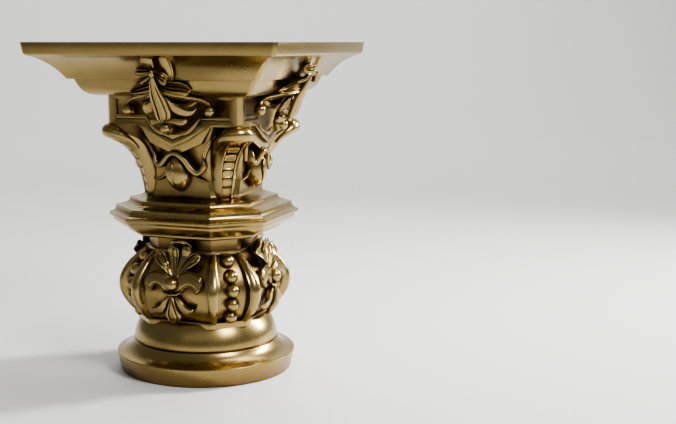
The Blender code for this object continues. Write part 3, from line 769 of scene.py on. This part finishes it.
# %% Leaves, stalks and balls
curls = broad_leaves(in_front, {
    "right_curl": [(4, 68, 3, 72, 156, 3.5), (12, 77, 7, 81, 152, 4.5), (22, 85, 13, 93, 146, 5),
                   (33, 92, 22, 102, 141, 5.2), (43, 96, 34, 106, 136, 5),
                   (49, 95, 44, 104, 133, 4), (52, 91, 51, 96, 134, 1.2)],
    "left_small_leaf": [(-4, 108, -2, 114, 138, 2.5), (-15, 108, -11, 118, 136, 4),
                        (-23, 110, -18, 120, 133, 4), (-26, 114, -25, 118, 131, 1.2)],
    "right_small_leaf": [(6, 109, 5, 115, 138, 2.5), (18, 107, 17, 117, 136, 4),
                         (27, 108, 25, 120, 133, 4), (33, 109, 31, 118, 131, 3),
                         (35, 111, 34, 114, 130, 1)]})
curls += broad_leaves(in_front, {
    "left_curl": [(-13, 80, -9, 80, 148, 3), (-24, 86, -8, 86, 145, 4.5),
                  (-30, 93, -9, 96, 141, 5), (-29, 100, -12, 101, 138, 4),
                  (-26, 104, -18, 104, 136, 1.2)]}, relief=scooped)
fronds = broad_leaves(in_front, {
    "right_frond": [(4, 51, 8, 65, 160, 4), (14, 54, 15, 71, 157, 5), (24, 55, 25, 75, 153, 5.4),
                    (34, 56, 36, 76, 149, 5), (42, 60, 42, 76, 145, 4),
                    (48, 67, 43, 74, 142, 1.5)]}, relief=ribbed, square=0.85)
fronds += broad_leaves(in_front, {
    "left_frond": [(-4, 50, -4, 72, 160, 4), (-18, 54, -14, 75, 158, 5),
                   (-32, 60, -28, 76, 154, 5), (-42, 65, -40, 76, 150, 4),
                   (-49, 69, -47, 74, 146, 1.5)]}, relief=ribbed)
stalks = on_both_sides("stalk", spine(
    (2, 160, 66, 3.4, 4.2), (16, 148, 74, 5.2, 5.0), (34, 134, 79, 5.0, 5.0),
    (52, 125, 82, 4.2, 4.6), (64, 122, 87, 3.2, 4.0), (68, 121, 95, 2.2, 2.8)),
    relief=grooved, steps=5)
back_leaves = on_both_sides("back_leaf", spine(
    (6, 128, 88, 4.0, 7.0), (20, 120, 90, 6.0, 8.0), (34, 117, 88, 6.0, 8.0),
    (46, 115, 84, 2.0, 4.0)))
balls = [bead("stalk_ball", spot(side * 66, 122, 98), 0.0082) for side in (-1, 1)]
balls.append(bead("drop_ball", spot(0, 132, 123), 0.0078))
drop_cup = leaf("drop_cup", spine((0, 128, 100, 3, 4), (0, 126, 112, 7, 8), (0, 124, 124, 9, 8),
                                  (0, 120, 133, 3, 4)))
spray = joined("spray", [pendant, keel, knot, drop_cup] + stems + bows + curls + fronds + stalks
               + back_leaves + balls)
on_all_sides(spray)
print("spray", len(spray.data.polygons), "faces each")

# %% [markdown]
# ## Bud and hood
# On each face of the bell a closed bud hangs point down under an ogee hood, whose two arms sweep
# down and hook up again. The bud is a round section that swells and closes. The hood is one bar
# from tip to tip, with a cut line along both of its edges.

# %% Carve the bud and the hood
def on_bell(right, down, lift):
    place = spot(right, 0, down)
    place.y = -bell_half(place.z) - lift / 1000
    return place


def bell_spine(*stations):
    """Stations in millimetres: right, down, lift off the bell, half width, half thickness."""
    return [(on_bell(*station[:3]), station[3] / 1000, station[4] / 1000) for station in stations]


bud = leaf("bud", bell_spine(
    (-7, 167, 4, 4, 5), (-6, 170, 5, 11.0, 10), (-4.5, 179, 6, 16.6, 15), (-3, 191, 7, 18.8, 17),
    (-1.5, 203, 7, 17.6, 15.5), (-0.5, 213, 6, 12.0, 11), (0, 219, 5, 5.4, 5),
    (0, 222.5, 4, 0.6, 1)), corners=32, steps=5)
bud_leaf = leaf("bud_leaf", bell_spine(
    (-8, 175, 19.5, 0.6, 1.0), (-8, 181, 21.6, 4.4, 2.2), (-7.5, 190, 23.8, 6.4, 2.4),
    (-6.5, 201, 23.4, 4.0, 2.0), (-5, 210, 20.4, 0.5, 0.8)), relief=dished, corners=24, square=0.8)
right_arm = bell_spine(
    (-3, 163, 14, 3.8, 7), (6, 165.5, 14, 4.2, 7), (15, 174, 13, 4.8, 7), (22.5, 185, 12, 5.4, 7),
    (31, 191.5, 11, 5.6, 7), (39, 188, 10, 4.8, 6.5), (43, 179, 9, 3.6, 6), (42, 170, 8, 0.8, 2.4))
left_arm = bell_spine(
    (-11, 166.5, 14, 4.0, 7), (-19, 174.5, 13, 4.6, 7), (-26, 180.5, 12, 5.0, 7),
    (-32.5, 179, 11, 4.4, 6.5), (-36, 170.5, 10, 3.2, 6), (-37, 161, 9, 0.8, 2.4))
hood = leaf("hood", left_arm[::-1] + right_arm, relief=edged, corners=36, steps=5, square=0.6)
veins = on_both_sides("vein", bell_spine(
    (17, 182, 3, 1.0, 3.5), (24, 196, 3, 2.4, 4.5), (34, 203, 2, 2.4, 4.5), (46, 206, 0, 0.8, 3.0)))
cheeks = on_both_sides("cheek", bell_spine(
    (38, 176, 2, 3.0, 5.0), (44, 160, 1, 3.2, 5.0), (52, 146, -2, 3.4, 6.0),
    (62, 136, -5, 1.0, 5.0)), relief=grooved)
flower = joined("bud_and_hood", [hood, bud, bud_leaf] + veins + cheeks)
on_all_sides(flower)
print("bud and hood", len(flower.data.polygons), "faces each")

# %% [markdown]
# ## Ribs and beads of the drum
# Eight ribs mark the corners of the drum. They start and end thin and swell at its widest place,
# with a step along each side. Between the pairs a string of five beads fills the narrow faces.

# %% Ribs
def rib(side):
    rings = []
    steps = 26
    for step in range(steps + 1):
        share = step / steps
        height = level["foot_plate"] + HEIGHTS["drum"] * share
        swelling = math.sin(math.pi * share)
        middle = Vector((side * drum_flat(height), -drum_half(height),
                         height + (share - 0.5) * 0.0030))
        outward = Vector((middle.x, middle.y, 0.0)).normalized()
        across = Vector((-outward.y, outward.x, 0.0))
        middle += outward * (0.0095 * (0.15 + 0.85 * swelling) - 0.006)
        half = 0.0150 * (0.28 + 0.28 * swelling)
        section = [(-1.20, -0.0080), (-1.20, 0.0006), (-1.04, 0.0010), (-1.0, 0.0026),
                   (-0.86, 0.0042), (-0.50, 0.0061), (0.0, 0.0067)]
        section += [(-u, out) for u, out in reversed(section[:-1])]
        rings.append([middle + across * half * u + outward * out for u, out in section])
    return soft_edges(draw_out("rib", rings), 30)


ribs = joined("drum_ribs", [rib(-1), rib(1)])
on_all_sides(ribs)
print("ribs", len(ribs.data.polygons), "faces each pair")

# %% Beads
BEAD_RADIUS, BEADS = 0.0104, 5
beads = []
for count in range(BEADS):
    first = level["foot_plate"] + BEAD_RADIUS - 0.0005
    height = first + count * (HEIGHTS["drum"] - 2 * BEAD_RADIUS + 0.001) / (BEADS - 1)
    place = on_corner(0.0, channel_floor(height) + 0.4 * BEAD_RADIUS, height)
    beads.append(bead("bead", place, BEAD_RADIUS))
bead_string = joined("bead_string", beads)
on_all_sides(bead_string)
print("beads", len(bead_string.data.polygons), "faces each string")

# %% [markdown]
# ## The lilies
# Each wide face of the drum carries a lily: a fan of three rimmed petals over two plain ones, a
# ball, two wings that curl like a ram's horns, a band, and a tail of three lobes. All points are
# given on the face and lifted off the swelling drum, so the flower bends with it. Only the wings
# stand up straighter than the drum does.

# %% Carve the lily
def on_drum(right, down, lift):
    place = spot(right, 0, down)
    place.y = -drum_half(place.z) - lift / 1000
    return place


def stood_up(right, down, lift):
    """Like on_drum, but the face leans back less than the drum does."""
    place = on_drum(right, down, lift)
    place.y -= 0.65 * max(0.0, drum_half(spot(0, 0, 372).z) - drum_half(place.z))
    return place


def drum_spine(*stations):
    """Stations in millimetres: right, down, lift off the drum, half width, half thickness."""
    return [(on_drum(*station[:3]), station[3] / 1000, station[4] / 1000) for station in stations]


petals = broad_leaves(on_drum, {
    "far_left": [(-5, 352, -2, 352, 4, 2), (-14, 341, -8, 336, 9, 3), (-22, 333, -11, 326, 17, 4),
                 (-31, 326, -18, 316, 21, 4), (-36, 319, -23, 311, 22, 3.4),
                 (-34, 313, -27, 310, 23, 1.4)],
    "middle": [(-3, 352, 1, 352, 4, 2), (-4, 333, 2, 333, 10, 3), (-8, 319, 4, 318, 20, 4),
               (-8, 310, 5, 309, 24, 3.4), (-5, 304, 2, 304, 25, 1.4)],
    "far_right": [(1, 352, 5, 352, 4, 2), (7, 336, 14, 341, 9, 3), (14, 323, 26, 332, 17, 4),
                  (20, 315, 36, 325, 21, 4), (27, 311, 39, 319, 22, 3.4),
                  (33, 310, 37, 314, 23, 1.4)]}, relief=cored)
petals += broad_leaves(on_drum, {
    "near_left": [(-4, 352, -1, 352, 4, 2), (-11, 334, -4, 333, 8, 3), (-16, 319, -5, 317, 16, 4),
                  (-17, 310, -3, 307, 20, 3.4), (-12, 303, -6, 302, 21, 1.4)],
    "near_right": [(-1, 352, 3, 352, 4, 2), (0, 333, 9, 336, 8, 3), (3, 318, 18, 322, 16, 4),
                   (6, 308, 23, 312, 20, 3.4), (11, 302, 20, 303, 21, 1.4)]},
    relief=plain, square=0.8)
hood_petal = leaf("hood_petal", drum_spine(
    (2, 334, 0, 8, 4), (2, 321, 3, 13, 4), (2, 310, 8, 17, 4), (2, 302, 12, 17, 4),
    (3, 296, 15, 12, 3.5), (3, 293, 16, 2, 1.5)), corners=40, side=Vector((1, 0, 0)))
wings = broad_leaves(stood_up, {
    "right_wing": [(0, 348, 6, 373, 4, 4), (10, 341, 14, 368, 5.5, 5), (18, 337, 19, 363, 5.5, 5),
                   (28, 337, 25, 360, 5.5, 5), (38, 340, 31, 361, 5.5, 5),
                   (46, 346, 35, 364, 5.5, 5), (48, 355, 36, 367, 5.5, 5),
                   (45, 363, 37, 369, 5.5, 5), (39, 371, 37, 371, 4, 2)],
    "left_wing": [(0, 348, -8, 373, 4, 4), (-13, 342, -16, 368, 5.5, 5),
                  (-22, 339, -20, 363, 5.5, 5), (-32, 339, -26, 360, 5.5, 5),
                  (-41, 342, -31, 361, 5.5, 5), (-47, 349, -34, 364, 5.5, 5),
                  (-48, 358, -34, 367, 5.5, 5), (-44, 366, -34, 369, 5.5, 5),
                  (-38, 371, -36, 371, 4, 2)]}, square=0.5)
lobes = broad_leaves(on_drum, {
    "right_lobe": [(0, 374, 5, 374, 4, 4), (4, 383, 12, 378, 6, 4.6), (8, 393, 20, 387, 8, 5),
                   (14, 402, 28, 392, 9, 5), (20, 408, 32, 393, 9, 4.6),
                   (27, 406, 34, 394, 8, 3.6), (32, 399, 34, 395, 6, 1.2)],
    "left_lobe": [(-2, 374, -7, 374, 4, 4), (-7, 384, -15, 380, 6, 4.6),
                  (-11, 395, -22, 390, 8, 5), (-18, 405, -29, 394, 9, 5),
                  (-29, 407, -35, 395, 8, 4), (-38, 402, -38, 397, 6, 1.4)]})
tail = broad_leaf("tail", [
    (-4, 373, 1, 373, 6, 3.5), (-5, 383, 4, 382, 9, 4.6), (-8, 395, 9, 394, 12, 5.4),
    (-12, 404, 13, 403, 14, 5.6), (-11, 412, 12, 410, 15, 5.2), (-8, 418, 6, 416, 15, 4),
    (-4, 420, -1, 420, 14, 1.4)], on_drum, relief=cored)
band = leaf("band", drum_spine(
    (-15, 369, 8, 0.9, 3), (-9, 371.5, 10, 1.7, 4.5), (-1, 372.5, 11, 1.9, 4.5),
    (8, 371.5, 10, 1.7, 4.5), (14, 369, 8, 0.9, 3)), square=0.8)
boss = bead("boss", on_drum(-1, 357, 12.0), 0.0104)
lily = joined("lily", [boss, band, tail, hood_petal] + petals + wings + lobes)
on_all_sides(lily)
print("lily", len(lily.data.polygons), "faces each")

# %% [markdown]
# ## Gilding
# The metal is a satin gilt bronze, with painted light in its colour: painted shade, brown, in
# hollows and creases, and a painted highlight on sharp edges. It could be painted by hand. Here
# hollows are found by ambient occlusion and edges by the mesh's own pointiness, and both steer one
# colour, so every side gets its painted shade and highlight by the same rule.

# %% Shader maths as Python
class Term:
    """A socket that can be added and multiplied like a number."""

    def __init__(self, finish, socket):
        self.finish, self.socket = finish, socket

    def maths(self, operation, first, second):
        made = self.finish.node("ShaderNodeMath", {"operation": operation}, {0: first, 1: second})
        return made.term("Value")

    def __add__(self, other):
        return self.maths("ADD", self, other)

    __radd__ = __add__

    def __mul__(self, other):
        return self.maths("MULTIPLY", self, other)

    __rmul__ = __mul__

    def __sub__(self, other):
        return self.maths("SUBTRACT", self, other)

    def __rsub__(self, other):
        return self.maths("SUBTRACT", other, self)


class Node:
    """A made node, whose outputs are asked for by name."""

    def __init__(self, finish, node):
        self.finish, self.node = finish, node

    def term(self, output):
        return Term(self.finish, self.node.outputs[output])


class Finish:
    """One material. Every node but the shader comes from the node method."""

    def __init__(self, name):
        self.material = bpy.data.materials.new(name)
        self.material.use_nodes = True
        self.tree = self.material.node_tree
        self.shader = self.tree.nodes["Principled BSDF"]

    def node(self, kind, settings=None, sockets=None):
        made = self.tree.nodes.new(kind)
        for setting, value in (settings or {}).items():
            setattr(made, setting, value)
        for socket, value in (sockets or {}).items():
            self.fill(made.inputs[socket], value)
        return Node(self, made)

    def fill(self, socket, value):
        if isinstance(value, Term):
            self.tree.links.new(value.socket, socket)
        else:
            socket.default_value = value

    def mixed(self, share, first, second):
        made = self.node("ShaderNodeMix", {"data_type": "RGBA"},
                         {"Factor": share, 6: first, 7: second})
        return Term(self, made.node.outputs[2])

    def noise(self, size, detail, stretch=(1.0, 1.0, 1.0)):
        """A cloudy pattern whose cells are about size metres wide."""
        where = self.node("ShaderNodeTexCoord").term("Object")
        where = self.node("ShaderNodeMapping", {}, {"Vector": where, "Scale": stretch})
        clouds = self.node("ShaderNodeTexNoise", {}, {"Vector": where.term("Vector"),
                                                      "Scale": 1 / size, "Detail": detail})
        return clouds.term("Fac")

    def between(self, value, low, high):
        """0 at low, 1 at high."""
        sockets = {"Value": value, "From Min": low, "From Max": high}
        return self.node("ShaderNodeMapRange", {"clamp": True}, sockets).term("Result")


# %% The gilt bronze
def gilt(name, bright, shade, painted_hollow_shade, gloss):
    finish = Finish(name)
    open_air, tight = (
        finish.node("ShaderNodeAmbientOcclusion", {"samples": 16}, {"Distance": reach}).term("AO")
        for reach in (0.045, 0.006))
    edge = finish.node("ShaderNodeNewGeometry").term("Pointiness")
    cloud = finish.noise(0.060, 3.0)
    grain = finish.noise(0.0022, 4.0)
    brushed = finish.noise(0.0016, 2.0, (1.0, 1.0, 0.08))
    metal = finish.mixed(finish.between(cloud, 0.30, 0.70), (*shade, 1.0), (*bright, 1.0))
    # painted shade: the colour turns brown where the wide ambient occlusion finds a hollow
    sunk = 1.0 - finish.between(open_air, 0.22, 0.78)
    metal = finish.mixed(0.72 * sunk, metal, (*painted_hollow_shade, 1.0))
    # painted shade: darker still in tight creases, where the narrow ambient occlusion is low
    painted_crease_shade = 1.0 - finish.between(tight, 0.30, 0.75)
    metal = finish.mixed(0.75 * painted_crease_shade, metal, (*(0.4 * c for c in painted_hollow_shade), 1.0))
    # painted highlight: the colour is lighter on sharp, convex edges
    painted_edge_highlight = finish.between(edge, 0.515, 0.56)
    metal = finish.mixed(0.35 * painted_edge_highlight, metal, (*(min(1.0, 1.30 * c) for c in bright), 1.0))
    finish.fill(finish.shader.inputs["Base Color"], metal)
    rough = gloss + 0.10 * (grain - 0.5) + 0.10 * (cloud - 0.5) + 0.14 * sunk
    finish.fill(finish.shader.inputs["Roughness"], rough)
    relief = finish.node("ShaderNodeBump", {}, {"Strength": 0.05, "Distance": 0.0003,
                                                "Height": 0.5 * grain + 0.5 * brushed})
    finish.fill(finish.shader.inputs["Normal"], relief.term("Normal"))
    finish.shader.inputs["Metallic"].default_value = 1.0
    return finish.material


# the third colour of each finish is the painted shade of hollows and creases
plain_gilt = gilt("gilt_mouldings", (0.350, 0.258, 0.106), (0.300, 0.214, 0.082),
                  (0.085, 0.032, 0.006), 0.25)
carved_gilt = gilt("gilt_carving", (0.365, 0.270, 0.112), (0.310, 0.226, 0.093),
                   (0.062, 0.027, 0.006), 0.24)
for piece in made_pieces:
    piece.data.materials.clear()
    is_plain = piece.name in ("moulded_body", "round_base")
    piece.data.materials.append(plain_gilt if is_plain else carved_gilt)
    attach(piece, "root")
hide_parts("capital")
print(len(made_pieces), "pieces gilded and riding")

# %% [markdown]
# ## Studio
# The photograph shows soft light from the right and a pale ground. The floor is swept up behind the
# capital, so that no horizon shows. A key and a narrow strip on the right, a panel overhead and a
# dim one in front give the metal long, quiet reflections. A wash keeps the far ground light.

# %% Floor
CAMERA_TURN, CAMERA_DOWN = 20.64, 8.618  # degrees
SWEEP_RADIUS, SWEEP_STEPS = 1.6, 12
pick_nothing()
bpy.ops.mesh.primitive_plane_add(size=12.0)
floor = bpy.context.object
floor.name = "floor"
bpy.ops.object.mode_set(mode="EDIT")
bpy.ops.mesh.select_all(action="DESELECT")
sweep = bmesh.from_edit_mesh(floor.data)
for edge in sweep.edges:
    if all(corner.co.y > 0 for corner in edge.verts):
        edge.select_set(True)
bmesh.update_edit_mesh(floor.data)
bpy.ops.transform.translate(value=(0.0, -2.0, 0.0))
for step in range(SWEEP_STEPS):
    turn, further = (math.pi / 2 / SWEEP_STEPS * place for place in (step, step + 1))
    back = SWEEP_RADIUS * (math.sin(further) - math.sin(turn))
    up = SWEEP_RADIUS * (math.cos(turn) - math.cos(further))
    bpy.ops.mesh.extrude_region_move(TRANSFORM_OT_translate={"value": (0.0, back, up)})
bpy.ops.mesh.extrude_region_move(TRANSFORM_OT_translate={"value": (0.0, 0.0, 5.0)})
bpy.ops.object.mode_set(mode="OBJECT")
bpy.ops.object.shade_smooth()
floor.rotation_euler.z = math.radians(CAMERA_TURN)
ground = Finish("pale_floor")
ground.shader.inputs["Base Color"].default_value = (0.74, 0.74, 0.73, 1.0)
ground.shader.inputs["Roughness"].default_value = 0.6
floor.data.materials.append(ground.material)
print("floor", len(floor.data.polygons), "faces")


# %% Lights and camera
PHOTO_WIDTH, LENS_AXIS = 676, 290  # pixels: the picture, and where its lens looked


def lamp(name, place, aim, size, power, spread=180):
    pick_nothing()
    bpy.ops.object.light_add(type="AREA", location=place)
    light = bpy.context.object
    light.name = name
    light.data.shape, light.data.size, light.data.size_y = "RECTANGLE", size[0], size[1]
    light.data.energy, light.data.spread = power, math.radians(spread)
    light.rotation_euler = (Vector(aim) - Vector(place)).to_track_quat("-Z", "Y").to_euler()
    return light


lamp("key", (2.1, -1.0, 2.0), (0, 0, 0.28), (0.8, 1.0), 24, 120)
lamp("strip", (1.9, 1.65, 1.35), (0, 0, 0.10), (0.35, 1.2), 36, 90)
lamp("overhead", (0.7, 0.6, 2.4), (0, 0, 0.30), (1.3, 1.3), 30)
lamp("front", (1.27, -2.72, 1.76), (0, 0, 0.25), (5.0, 1.3), 7)
lamp("wash", (-1.06, 2.81, 4.6), (-1.94, 5.15, 1.2), (5.0, 0.8), 230)
world = bpy.data.worlds.new("studio")
world.use_nodes = True
world.node_tree.nodes["Background"].inputs["Color"].default_value = (0.22, 0.22, 0.22, 1.0)
bpy.context.scene.world = world
bpy.context.scene.view_settings.look = "AgX - Medium High Contrast"
bpy.ops.object.camera_add(location=(0.7415, -1.5880, 0.510),
                          rotation=(math.radians(90 - CAMERA_DOWN), 0.0, math.radians(CAMERA_TURN)))
camera = bpy.context.object
camera.data.sensor_width, camera.data.lens = 36.0, 59.73
camera.data.shift_x = (PHOTO_WIDTH / 2 - LENS_AXIS) / PHOTO_WIDTH
bpy.context.scene.camera = camera
print("studio set")
